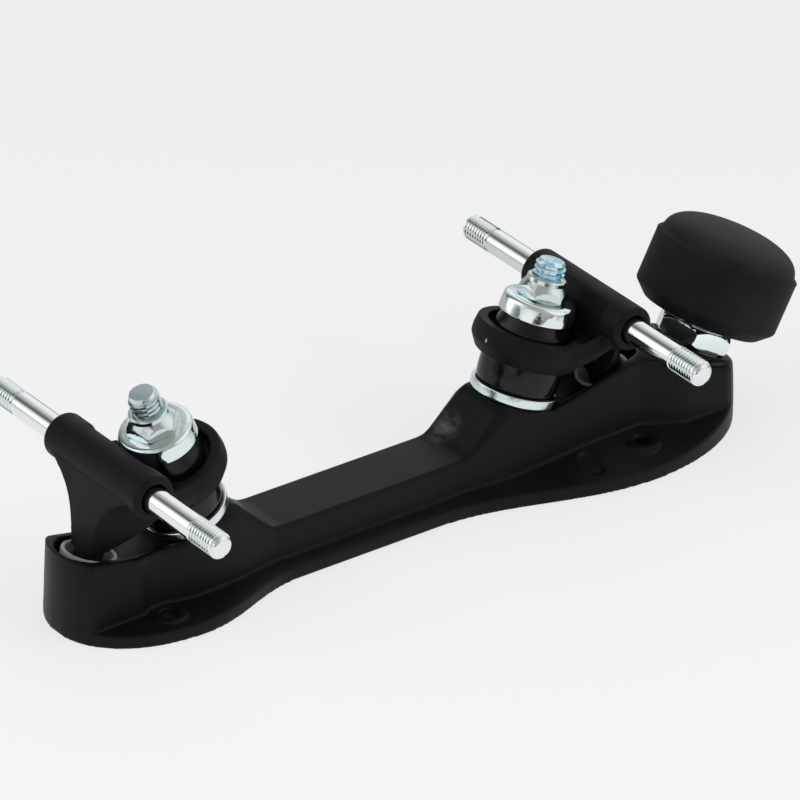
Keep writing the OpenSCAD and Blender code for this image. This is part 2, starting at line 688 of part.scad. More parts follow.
module toe_stop_rubber() color(rubber) at_stop() rotate_extrude()
    polygon(concat(
        [[stem_r + run_gap, stop_low], [stop_foot_r, stop_low], [stop_edge_r, stop_edge_h],
         [stop_lip_r, stop_lip_h]],
        [for (i = [0:dome_points]) let (a = 90 * i / dome_points)
            [(stop_lip_r - stop_lip_step) * pow(max(0, cos(a)), dome_power),
             stop_lip_h + stop_dome_h * pow(sin(a), dome_power)]],
        [[0, stem_top + disc_gap], [disc_r + run_gap, stem_top + disc_gap],
         [disc_r + run_gap, disc_low - disc_gap], [stem_r + run_gap, disc_low - disc_gap]]));

sole_plate();
kingpin();  // front_kingpin
kingpin_nut(front_nut_turn);  // front_kingpin_nut
upper_washer();  // front_upper_washer
lower_washer();  // front_lower_washer
upper_bushing();  // front_upper_bushing
lower_bushing();  // front_lower_bushing
pivot_cup();  // front_pivot_cup
hanger();  // front_hanger
axle();  // front_axle
at_rear() kingpin(rear_lift + rear_tip_out);  // rear_kingpin
at_rear() kingpin_nut(rear_nut_turn, rear_lift);  // rear_kingpin_nut
at_rear() upper_washer(rear_lift);  // rear_upper_washer
at_rear() lower_washer();  // rear_lower_washer
at_rear() upper_bushing(rear_lift);  // rear_upper_bushing
at_rear() lower_bushing();  // rear_lower_bushing
at_rear() pivot_cup();  // rear_pivot_cup
at_rear() hanger();  // rear_hanger
at_rear() axle();  // rear_axle
toe_stop_insert();
toe_stop_nut();
toe_stop_stem();
toe_stop_rubber();
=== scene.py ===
import math

import bmesh
import bpy
from mathutils import Matrix, Vector, noise


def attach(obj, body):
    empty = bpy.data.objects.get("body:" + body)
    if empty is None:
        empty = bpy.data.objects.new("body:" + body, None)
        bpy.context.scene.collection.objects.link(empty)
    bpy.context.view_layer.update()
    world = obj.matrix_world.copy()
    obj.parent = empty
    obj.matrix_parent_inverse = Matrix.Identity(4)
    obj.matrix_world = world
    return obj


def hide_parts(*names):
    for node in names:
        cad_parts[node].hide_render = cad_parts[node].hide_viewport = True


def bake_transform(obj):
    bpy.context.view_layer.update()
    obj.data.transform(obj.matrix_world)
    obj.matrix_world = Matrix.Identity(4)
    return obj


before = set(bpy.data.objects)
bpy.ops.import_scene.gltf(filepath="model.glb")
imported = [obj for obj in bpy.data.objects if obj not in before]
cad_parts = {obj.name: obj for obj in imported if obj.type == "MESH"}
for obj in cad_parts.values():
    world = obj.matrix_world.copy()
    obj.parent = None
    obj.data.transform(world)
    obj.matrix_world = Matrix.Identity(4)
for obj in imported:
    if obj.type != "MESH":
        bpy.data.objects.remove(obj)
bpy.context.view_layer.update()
mm = 0.001
scene = bpy.context.scene
scene.view_settings.view_transform = "Standard"
print("frame loaded:", len(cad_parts), "nodes")


def hexColor(text):  # sRGB hex to linear
    parts = [int(text[i:i + 2], 16) / 255 for i in (1, 3, 5)]
    return [c / 12.92 if c <= 0.04045 else ((c + 0.055) / 1.055) ** 2.4 for c in parts] + [1.0]


def addNode(tree, kind, inputs=None, **settings):  # inputs: socket -> value, or another socket to link
    node = tree.nodes.new(kind)
    for key, value in settings.items():
        setattr(node, key, value)
    for key, value in (inputs or {}).items():
        if isinstance(value, bpy.types.NodeSocket):
            tree.links.new(value, node.inputs[key])
        else:
            node.inputs[key].default_value = value
    return node


def newMaterial(name):
    material = bpy.data.materials.new(name)
    material.use_nodes = True
    tree = material.node_tree
    tree.nodes.clear()
    where = addNode(tree, "ShaderNodeTexCoord").outputs["Object"]
    return material, tree, where


# camera: solved from both axles and the spine; degrees, metres, and the focal length in picture points
cameraView = {"turn": 36.90, "rise": 29.43, "roll": 0.82, "distance": 2.436, "focal": 8228, "picture": 800,
              "film": 36, "reach": 20, "slide": (-14.4 * mm, 5.6 * mm), "aim": (0, 0, 50 * mm)}


def makeCamera():
    view = cameraView
    turn, rise, roll = (math.radians(view[k]) for k in ("turn", "rise", "roll"))
    back = Vector((-math.sin(turn) * math.cos(rise), -math.cos(turn) * math.cos(rise), math.sin(rise)))
    flat = Vector((math.cos(turn), -math.sin(turn), 0))
    upward = back.cross(flat)
    right = flat * math.cos(roll) + upward * math.sin(roll)
    up = upward * math.cos(roll) - flat * math.sin(roll)
    data = bpy.data.cameras.new("camera")
    data.sensor_width = view["film"]
    data.lens = view["focal"] / view["picture"] * view["film"]
    data.clip_end = view["reach"]
    camera = bpy.data.objects.new("camera", data)
    spot = Vector(view["aim"]) - right * view["slide"][0] - up * view["slide"][1]
    spot += back * view["distance"]
    camera.matrix_world = Matrix.Translation(spot) @ Matrix((right, up, back)).transposed().to_4x4()
    scene.collection.objects.link(camera)
    scene.camera = camera


makeCamera()
print("camera set")


# places in mm, leans in degrees: each truck is set out at the front, and mirrored for the rear
place = {"axleX": 87.5, "axleZ": 50, "tilt": 19, "seatX": 60.32, "seatZ": 26.044, "stopX": 128.5,
         "stopZ": 22.397, "stopTilt": 28}
stopLean = math.radians(place["stopTilt"])
stopOrigin = Vector((place["stopX"], 0, place["stopZ"])) * mm
stopAxis = Vector((math.sin(stopLean), 0, math.cos(stopLean)))


# materials: each look has colours, pattern sizes and depths in mm, and the two ends of its roughness
noiseSpan = (0.3, 0.7)  # most of a noise pattern lies between these
nylonLook = {"dark": "#0c0d0f", "pale": "#121316", "speck": "#2c2c2a", "worn": "#6a6a64", "ior": 1.53,
             "shine": 0.13, "rough": (0.4, 0.48), "cloud": 18, "grain": 0.5, "grainBump": 0.2,
             "grainDeep": 0.03, "speckGap": 9, "speckEdge": (0.022, 0.012), "rubAt": (38.6, 4.6, 19.4),
             "rubReach": (7.5, 0.5), "rubGrain": 3, "rubDraw": (1.2, 0.8, 1.2), "rubSpan": (0.3, 0.8)}


def nylonBlack():  # nylon, injection moulded: near black, satin, mould grain, dust specks, a rubbed ramp
    look = nylonLook
    material, tree, where = newMaterial("nylon_moulded_satin_black")
    cloudy = addNode(tree, "ShaderNodeTexNoise", {
        "Vector": where, "Scale": 1 / (look["cloud"] * mm), "Detail": 3})
    grain = addNode(tree, "ShaderNodeTexNoise", {  # coarser than a real mould's grain, to show
        "Vector": where, "Scale": 1 / (look["grain"] * mm), "Detail": 2})
    tint = addNode(tree, "ShaderNodeMix", {
        0: cloudy.outputs[0], 6: hexColor(look["dark"]), 7: hexColor(look["pale"])}, data_type="RGBA")
    specks = addNode(tree, "ShaderNodeTexVoronoi", {"Vector": where, "Scale": 1 / (look["speckGap"] * mm)})
    speck = addNode(tree, "ShaderNodeMapRange", {
        "Value": specks.outputs["Distance"],
        "From Min": look["speckEdge"][0], "From Max": look["speckEdge"][1]})
    dustAndPaintedLight = addNode(tree, "ShaderNodeMix", {
        0: speck.outputs[0], 6: tint.outputs[2], 7: hexColor(look["speck"])}, data_type="RGBA")
    rubAt = tuple(v * mm for v in look["rubAt"])
    far = addNode(tree, "ShaderNodeVectorMath", {0: where, 1: rubAt}, operation="DISTANCE")
    near = addNode(tree, "ShaderNodeMapRange", {
        "Value": far.outputs["Value"],
        "From Min": look["rubReach"][0] * mm, "From Max": look["rubReach"][1] * mm},
        interpolation_type="SMOOTHSTEP")
    drawn = addNode(tree, "ShaderNodeMapping", {"Vector": where, "Scale": look["rubDraw"]})
    rub = addNode(tree, "ShaderNodeTexNoise", {
        "Vector": drawn.outputs[0], "Scale": 1 / (look["rubGrain"] * mm), "Detail": 4})
    rubbed = addNode(tree, "ShaderNodeMapRange", {
        "Value": rub.outputs[0], "From Min": look["rubSpan"][0], "From Max": look["rubSpan"][1]})
    scuff = addNode(tree, "ShaderNodeMath", {0: near.outputs[0], 1: rubbed.outputs[0]}, operation="MULTIPLY")
    worn = addNode(tree, "ShaderNodeMix", {
        0: scuff.outputs[0], 6: dustAndPaintedLight.outputs[2], 7: hexColor(look["worn"])}, data_type="RGBA")
    rough = addNode(tree, "ShaderNodeMapRange", {
        "Value": cloudy.outputs[0], "From Min": noiseSpan[0], "From Max": noiseSpan[1],
        "To Min": look["rough"][0], "To Max": look["rough"][1]})
    bump = addNode(tree, "ShaderNodeBump", {
        "Height": grain.outputs[0], "Strength": look["grainBump"], "Distance": look["grainDeep"] * mm})
    skin = addNode(tree, "ShaderNodeBsdfPrincipled", {
        "Base Color": worn.outputs[2], "Roughness": rough.outputs[0], "Normal": bump.outputs[0],
        "IOR": look["ior"], "Specular IOR Level": look["shine"]})
    addNode(tree, "ShaderNodeOutputMaterial", {"Surface": skin.outputs[0]})
    return material


# bare: the pale grey of one small spot on the left of the front ring
castLook = {"dark": "#111215", "handled": "#181817", "bare": "#c9c9c4", "shine": 0.15, "rough": (0.48, 0.6),
            "cloud": 11, "cloudSpan": (0.45, 0.75), "peel": 0.8, "peelBump": 0.25, "peelDeep": 0.05,
            "paleSpotAt": (49.5, -0.7, 48.1), "paleSpot": 0.42, "paleSpotCore": 0.6, "paleSpotDraw": (1, 1, 0.45)}


def castBlack():  # die-cast alloy, black dip coat: satin, slight orange peel, brown where handled, one small pale spot
    look = castLook
    material, tree, where = newMaterial("cast_alloy_black_coat")
    cloudy = addNode(tree, "ShaderNodeTexNoise", {
        "Vector": where, "Scale": 1 / (look["cloud"] * mm), "Detail": 4})
    peel = addNode(tree, "ShaderNodeTexNoise", {
        "Vector": where, "Scale": 1 / (look["peel"] * mm), "Detail": 3})
    spread = addNode(tree, "ShaderNodeMapRange", {
        "Value": cloudy.outputs[0], "From Min": look["cloudSpan"][0], "From Max": look["cloudSpan"][1]})
    tint = addNode(tree, "ShaderNodeMix", {
        0: spread.outputs[0], 6: hexColor(look["dark"]), 7: hexColor(look["handled"])}, data_type="RGBA")
    # a small pale grey spot on the left of the front ring
    paleSpotAt = tuple(v * mm for v in look["paleSpotAt"])
    away = addNode(tree, "ShaderNodeVectorMath", {0: where, 1: paleSpotAt}, operation="SUBTRACT")
    tall = addNode(tree, "ShaderNodeMapping", {"Vector": away.outputs[0], "Scale": look["paleSpotDraw"]})
    far = addNode(tree, "ShaderNodeVectorMath", {0: tall.outputs[0]}, operation="LENGTH")
    paleSpot = addNode(tree, "ShaderNodeMapRange", {
        "Value": far.outputs["Value"],
        "From Min": look["paleSpot"] * mm, "From Max": look["paleSpotCore"] * look["paleSpot"] * mm})
    coat = addNode(tree, "ShaderNodeMix", {
        0: paleSpot.outputs[0], 6: tint.outputs[2], 7: hexColor(look["bare"])}, data_type="RGBA")
    rough = addNode(tree, "ShaderNodeMapRange", {
        "Value": cloudy.outputs[0], "From Min": noiseSpan[0], "From Max": noiseSpan[1],
        "To Min": look["rough"][0], "To Max": look["rough"][1]})
    bump = addNode(tree, "ShaderNodeBump", {
        "Height": peel.outputs[0], "Strength": look["peelBump"], "Distance": look["peelDeep"] * mm})
    skin = addNode(tree, "ShaderNodeBsdfPrincipled", {
        "Base Color": coat.outputs[2], "Roughness": rough.outputs[0], "Normal": bump.outputs[0],
        "Specular IOR Level": look["shine"]})
    addNode(tree, "ShaderNodeOutputMaterial", {"Surface": skin.outputs[0]})
    return material


zincLook = {"cloud": 7, "cloudSpan": (0.35, 0.7), "fine": 0.6, "fineBump": 0.06, "fineDeep": 0.03,
            "roughSpan": (0.15, 0.4), "dent": 3}


def zincSteel(name, cool, warm, smooth, dull, wave):  # zinc plate, clear passivated: bright, blue to straw
    look = zincLook
    material, tree, where = newMaterial(name)
    cloudy = addNode(tree, "ShaderNodeTexNoise", {
        "Vector": where, "Scale": 1 / (look["cloud"] * mm), "Detail": 3})
    fine = addNode(tree, "ShaderNodeTexNoise", {  # coarser than real plating, to show
        "Vector": where, "Scale": 1 / (look["fine"] * mm), "Detail": 2})
    spread = addNode(tree, "ShaderNodeMapRange", {
        "Value": cloudy.outputs[0], "From Min": look["cloudSpan"][0], "From Max": look["cloudSpan"][1]})
    tint = addNode(tree, "ShaderNodeMix", {
        0: spread.outputs[0], 6: hexColor(cool), 7: hexColor(warm)}, data_type="RGBA")
    both = addNode(tree, "ShaderNodeMath", {0: cloudy.outputs[0], 1: fine.outputs[0]}, operation="MULTIPLY")
    rough = addNode(tree, "ShaderNodeMapRange", {
        "Value": both.outputs[0], "From Min": look["roughSpan"][0], "From Max": look["roughSpan"][1],
        "To Min": smooth, "To Max": dull})
    dents = addNode(tree, "ShaderNodeTexNoise", {
        "Vector": where, "Scale": 1 / (look["dent"] * mm), "Detail": 2})
    uneven = addNode(tree, "ShaderNodeBump", {"Height": dents.outputs[0], "Distance": wave * mm})
    bump = addNode(tree, "ShaderNodeBump", {
        "Height": fine.outputs[0], "Strength": look["fineBump"], "Distance": look["fineDeep"] * mm,
        "Normal": uneven.outputs[0]})
    skin = addNode(tree, "ShaderNodeBsdfPrincipled", {
        "Base Color": tint.outputs[2], "Metallic": 1.0, "Roughness": rough.outputs[0],
        "Normal": bump.outputs[0]})
    addNode(tree, "ShaderNodeOutputMaterial", {"Surface": skin.outputs[0]})
    return material


lockLook = {"thin": "#e6f4f9", "thick": "#98daf3", "patch": 1.6, "cover": (0.4, 0.55), "metal": (0.9, 0.3),
            "rough": (0.18, 0.34), "waxBump": 0.5, "waxDeep": 0.2}


def threadLock():  # dried thread-lock patch over zinc: clear blue, waxy, patchy along the crests
    look = lockLook
    material, tree, where = newMaterial("thread_lock_patch_blue")
    patch = addNode(tree, "ShaderNodeTexNoise", {
        "Vector": where, "Scale": 1 / (look["patch"] * mm), "Detail": 3})
    cover = addNode(tree, "ShaderNodeMapRange", {
        "Value": patch.outputs[0], "From Min": look["cover"][0], "From Max": look["cover"][1]})
    tint = addNode(tree, "ShaderNodeMix", {
        0: cover.outputs[0], 6: hexColor(look["thin"]), 7: hexColor(look["thick"])}, data_type="RGBA")
    metal = addNode(tree, "ShaderNodeMapRange", {
        "Value": cover.outputs[0], "To Min": look["metal"][0], "To Max": look["metal"][1]})
    rough = addNode(tree, "ShaderNodeMapRange", {
        "Value": cover.outputs[0], "To Min": look["rough"][0], "To Max": look["rough"][1]})
    bump = addNode(tree, "ShaderNodeBump", {
        "Height": patch.outputs[0], "Strength": look["waxBump"], "Distance": look["waxDeep"] * mm})
    skin = addNode(tree, "ShaderNodeBsdfPrincipled", {
        "Base Color": tint.outputs[2], "Metallic": metal.outputs[0], "Roughness": rough.outputs[0],
        "Normal": bump.outputs[0]})
    addNode(tree, "ShaderNodeOutputMaterial", {"Surface": skin.outputs[0]})
    return material


urethaneLook = {"dark": "#0c0c0e", "pale": "#121215", "ior": 1.5, "shine": 0.3, "rough": (0.12, 0.22),
                "ripple": 5, "rippleBump": 0.1, "rippleDeep": 0.2}


def urethaneBlack():  # cast polyurethane: black, wet gloss, faint ripples
    look = urethaneLook
    material, tree, where = newMaterial("polyurethane_cast_gloss_black")
    ripple = addNode(tree, "ShaderNodeTexNoise", {
        "Vector": where, "Scale": 1 / (look["ripple"] * mm), "Detail": 2})
    tint = addNode(tree, "ShaderNodeMix", {
        0: ripple.outputs[0], 6: hexColor(look["dark"]), 7: hexColor(look["pale"])}, data_type="RGBA")
    rough = addNode(tree, "ShaderNodeMapRange", {
        "Value": ripple.outputs[0], "From Min": noiseSpan[0], "From Max": noiseSpan[1],
        "To Min": look["rough"][0], "To Max": look["rough"][1]})
    bump = addNode(tree, "ShaderNodeBump", {
        "Height": ripple.outputs[0], "Strength": look["rippleBump"], "Distance": look["rippleDeep"] * mm})
    skin = addNode(tree, "ShaderNodeBsdfPrincipled", {
        "Base Color": tint.outputs[2], "Roughness": rough.outputs[0], "Normal": bump.outputs[0],
        "IOR": look["ior"], "Specular IOR Level": look["shine"]})
    addNode(tree, "ShaderNodeOutputMaterial", {"Surface": skin.outputs[0]})
    return material


# top: painted light, the paler grey of the dome's lit top, faded in between the two heights along the stem
# given last
rubberLook = {"dark": "#1a1b1e", "bloom": "#252628", "top": "#333437", "shine": 0.1, "rough": (0.56, 0.66),
              "cloud": 14, "cloudSpan": (0.4, 0.75), "tooth": 0.7, "toothBump": 0.45, "toothDeep": 0.08,
              "paintedLightRise": (30, 36)}


def rubberBlack():  # natural rubber, compression moulded: matt black, fine tooth, bloom in patches, and painted light that greys the top of the dome
    look = rubberLook
    material, tree, where = newMaterial("rubber_moulded_matt_black")
    bloom = addNode(tree, "ShaderNodeTexNoise", {
        "Vector": where, "Scale": 1 / (look["cloud"] * mm), "Detail": 5})
    tooth = addNode(tree, "ShaderNodeTexNoise", {  # coarser than real, to show
        "Vector": where, "Scale": 1 / (look["tooth"] * mm), "Detail": 3})
    spread = addNode(tree, "ShaderNodeMapRange", {
        "Value": bloom.outputs[0], "From Min": look["cloudSpan"][0], "From Max": look["cloudSpan"][1]})
    tint = addNode(tree, "ShaderNodeMix", {
        0: spread.outputs[0], 6: hexColor(look["dark"]), 7: hexColor(look["bloom"])}, data_type="RGBA")
    # painted light: the dome goes paler grey towards its top
    out = addNode(tree, "ShaderNodeVectorMath", {0: where, 1: stopOrigin}, operation="SUBTRACT")
    high = addNode(tree, "ShaderNodeVectorMath", {0: out.outputs[0], 1: stopAxis}, operation="DOT_PRODUCT")
    dustAndPaintedLight = addNode(tree, "ShaderNodeMapRange", {
        "Value": high.outputs["Value"],
        "From Min": look["paintedLightRise"][0] * mm, "From Max": look["paintedLightRise"][1] * mm})
    paintedLightTop = addNode(tree, "ShaderNodeMix", {
        0: dustAndPaintedLight.outputs[0], 6: tint.outputs[2], 7: hexColor(look["top"])}, data_type="RGBA")
    rough = addNode(tree, "ShaderNodeMapRange", {
        "Value": bloom.outputs[0], "From Min": noiseSpan[0], "From Max": noiseSpan[1],
        "To Min": look["rough"][0], "To Max": look["rough"][1]})
    bump = addNode(tree, "ShaderNodeBump", {
        "Height": tooth.outputs[0], "Strength": look["toothBump"], "Distance": look["toothDeep"] * mm})
    skin = addNode(tree, "ShaderNodeBsdfPrincipled", {
        "Base Color": paintedLightTop.outputs[2], "Roughness": rough.outputs[0], "Normal": bump.outputs[0],
        "Specular IOR Level": look["shine"]})
    addNode(tree, "ShaderNodeOutputMaterial", {"Surface": skin.outputs[0]})
    return material


acetalLook = {"greasy": "#7c7e7b", "clean": "#c4c6c3", "ior": 1.48, "rough": (0.25, 0.5), "smear": 3}


def acetalGrey():  # acetal, injection moulded: pale grey, smooth, greasy marks
    look = acetalLook
    material, tree, where = newMaterial("acetal_moulded_pale_grey")
    smear = addNode(tree, "ShaderNodeTexNoise", {
        "Vector": where, "Scale": 1 / (look["smear"] * mm), "Detail": 4})
    tint = addNode(tree, "ShaderNodeMix", {
        0: smear.outputs[0], 6: hexColor(look["greasy"]), 7: hexColor(look["clean"])}, data_type="RGBA")
    rough = addNode(tree, "ShaderNodeMapRange", {
        "Value": smear.outputs[0], "To Min": look["rough"][0], "To Max": look["rough"][1]})
    skin = addNode(tree, "ShaderNodeBsdfPrincipled", {
        "Base Color": tint.outputs[2], "Roughness": rough.outputs[0], "IOR": look["ior"]})
    addNode(tree, "ShaderNodeOutputMaterial", {"Surface": skin.outputs[0]})
    return material


# zinc finishes: two colours, roughness from smooth to dull, depth of the dents in mm
finish = {"nylon": nylonBlack(), "cast": castBlack(), "urethane": urethaneBlack(), "rubber": rubberBlack(),
          "acetal": acetalGrey(), "lock": threadLock(),
          "axle": zincSteel("zinc_bright_drawn_axle", "#ebf2f3", "#eff1ee", 0.07, 0.14, 0.02),
          "bolt": zincSteel("zinc_rolled_bolt", "#cfdfe5", "#dde3e2", 0.12, 0.26, 0.05),
          "sheared": zincSteel("zinc_sheared_face", "#bfd2db", "#c8d6dc", 0.3, 0.45, 0.1),
          # root: painted shade, a darker zinc for the grooves between the thread ridges
          "root": zincSteel("zinc_thread_root_painted_shade", "#99a5aa", "#a6adaf", 0.25, 0.4, 0.05),
          "nut": zincSteel("zinc_forged_nut", "#cfdfe4", "#dadfd9", 0.08, 0.2, 0.1),
          "washer": zincSteel("zinc_pressed_washer", "#e2eff3", "#eaeeea", 0.06, 0.15, 0.12),
          "cup": zincSteel("zinc_pressed_cup", "#dcecf2", "#e9efee", 0.16, 0.3, 0.1),
          "jam": zincSteel("zinc_bright_jam_nut", "#f0fcff", "#f4faf8", 0.06, 0.15, 0.05)}
print("materials made:", len(finish))


def axisFrame(spot, axis):  # a matrix whose Z runs along the axis, from the spot, in mm
    along = Vector(axis).normalized()
    side = Vector((0, 1, 0)).cross(along)
    if side.length < 0.1:  # an axle runs along Y
        side = Vector((1, 0, 0))
    side.normalize()
    across = along.cross(side)
    return Matrix.Translation(Vector(spot) * mm) @ Matrix((side, across, along)).transposed().to_4x4()


def kingpinFrame(way):
    lean = math.radians(place["tilt"])
    return axisFrame((way * place["seatX"], 0, place["seatZ"]), (way * math.sin(lean), 0, math.cos(lean)))


def axleFrame(way):
    return axisFrame((way * place["axleX"], 0, place["axleZ"]), (0, 1, 0))


stopFrame = axisFrame(stopOrigin / mm, stopAxis)


def eased(points, steps=5, most=0.49):  # points (r, h, ease): each corner rounded over that much of its legs
    out = []
    for i, (r, h, ease) in enumerate(points):
        p = Vector((r, h))
        if ease == 0 or i in (0, len(points) - 1):
            out.append(p)
            continue
        a, b = Vector(points[i - 1][:2]), Vector(points[i + 1][:2])
        start = p + (a - p).normalized() * min(ease, (a - p).length * most)
        end = p + (b - p).normalized() * min(ease, (b - p).length * most)
        for k in range(steps + 1):
            t = k / steps
            out.append(start * (1 - t) ** 2 + p * 2 * t * (1 - t) + end * t * t)
    return out


def turned(points, spot, sides=96):  # lathe form from a profile in mm; off the axis it closes into a ring
    form = bmesh.new()
    turns = [2 * math.pi * k / sides for k in range(sides)]
    rings = []
    for p in points:
        if p.x < 1e-6:  # on the axis
            rings.append([form.verts.new((0, 0, p.y * mm))])
            continue
        r, h = p.x * mm, p.y * mm
        rings.append([form.verts.new((r * math.cos(a), r * math.sin(a), h)) for a in turns])
    closed = len(rings[0]) > 1 and len(rings[-1]) > 1
    pairs = list(zip(rings, rings[1:])) + ([(rings[-1], rings[0])] if closed else [])
    for low, high in pairs:
        for k in range(sides):
            n = (k + 1) % sides
            corners = [low[k % len(low)], low[n % len(low)], high[n % len(high)], high[k % len(high)]]
            corners = list(dict.fromkeys(corners))
            if len(corners) > 2:
                form.faces.new(corners)
    bmesh.ops.recalc_face_normals(form, faces=form.faces)
    form.transform(spot)
    return form


def meshFrom(form, name="work"):
    mesh = bpy.data.meshes.new(name)
    form.to_mesh(mesh)
    form.free()
    return mesh


# an edge that turns by more degrees than this stays sharp
crease = {"soft": 180, "cushion": 60, "moulded": 50, "pressed": 50, "turned": 35, "cut": 30}


def finished(name, form, material, body, stands, sharp):  # form -> piece on its body, in place of nodes
    if isinstance(form, bmesh.types.BMesh):
        mesh = meshFrom(form, name)
    else:
        mesh = form
        mesh.name = name
    for m in material if isinstance(material, list) else [material]:
        mesh.materials.append(m)
    mesh.polygons.foreach_set("use_smooth", [True] * len(mesh.polygons))
    mesh.set_sharp_from_angle(angle=math.radians(sharp))
    piece = bpy.data.objects.new(name, mesh)
    scene.collection.objects.link(piece)
    if isinstance(body, str):
        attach(piece, body)
    else:  # two bodies and a stretch are given: the piece is set in place in the world, on neither body
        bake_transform(piece)
    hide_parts(*stands)
    return piece


merge = 0.002 * mm  # corners closer than this are one


def mergedCopy(node):  # the CAD node's triangles joined into one skin
    form = bmesh.new()
    form.from_mesh(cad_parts[node].data)
    bmesh.ops.remove_doubles(form, verts=form.verts, dist=merge)
    return form


def withModifiers(form, changes):  # evaluated plain mesh of a bmesh with modifiers on it
    mesh = meshFrom(form)
    work = bpy.data.objects.new("work", mesh)
    scene.collection.objects.link(work)
    for kind, settings in changes:
        modifier = work.modifiers.new(kind.lower(), kind)
        for key, value in settings.items():
            setattr(modifier, key, value)
    bpy.context.view_layer.update()
    result = bpy.data.meshes.new_from_object(work.evaluated_get(bpy.context.evaluated_depsgraph_get()))
    bpy.data.objects.remove(work)
    bpy.data.meshes.remove(mesh)
    result.materials.clear()
    return result


# moulded and cast pieces: the CAD form with every edge softened as the mould leaves it
# ends: side, start and half width of each round end wall, between low and high; lengths in mm
moulding = {"sole_plate": {"cell": 0.42, "rounds": 8, "keep": 0.42, "ends": ((-1, 100, 11.5), (1, 131, 17.5)),
                           "low": 4.5, "high": 27, "facing": 0.2, "upright": 0.3, "even": 60,
                           "backing": ((-106.0, -104.9), (-3.5, 3.5), (10, 19))},
            "hanger": {"cell": 0.36, "rounds": 7, "keep": 0.7}}


def softSkin(node, settings):
    form = mergedCopy(node)
    if "backing" in settings:  # the heel wall is thin behind the rear socket, so it is backed from inside
        low, high = (Vector(corner) * mm for corner in zip(*settings["backing"]))
        bmesh.ops.create_cube(form, size=1, matrix=Matrix.Translation((low + high) / 2)
                              @ Matrix.Diagonal((*(high - low), 1)))
    skin = withModifiers(form, [
        ("REMESH", {"mode": "VOXEL", "voxel_size": settings["cell"] * mm, "adaptivity": 0.0}),
        ("SMOOTH", {"factor": 0.5, "iterations": settings["rounds"]})])
    form = bmesh.new()
    form.from_mesh(skin)
    bpy.data.meshes.remove(skin)
    form.normal_update()
    for way, start, half in settings.get("ends", ()):  # evened out sideways only
        wall = [v for v in form.verts if way * v.co.x > start * mm and way * v.normal.x > settings["facing"]
                and abs(v.co.y) < half * mm and abs(v.normal.z) < settings["upright"]
                and settings["low"] * mm < v.co.z < settings["high"] * mm]
        for k in range(settings["even"]):
            bmesh.ops.smooth_vert(form, verts=wall, factor=0.5, use_axis_x=True, use_axis_y=True)
    return withModifiers(form, [("DECIMATE", {"ratio": settings["keep"]})])


plate = finished("sole_board", softSkin("sole_plate", moulding["sole_plate"]), finish["nylon"],
                 "plate", ["sole_plate"], crease["soft"])
print("sole board:", len(plate.data.polygons), "faces")
for end in ("front", "rear"):
    truck = finished(end + "_truck_casting", softSkin(end + "_hanger", moulding["hanger"]), finish["cast"],
                     end + "_truck", [end + "_hanger"], crease["soft"])
    print(truck.name, len(truck.data.polygons), "faces")


# threads: a flat-topped ridge on a right-handed spiral, wound by Geometry Nodes
# foot: width of the ridge at its root, in pitches; thin: what is left of it at both ends; steps in a turn
threadForm = {"foot": 0.68, "thin": 0.15, "steps": 28}


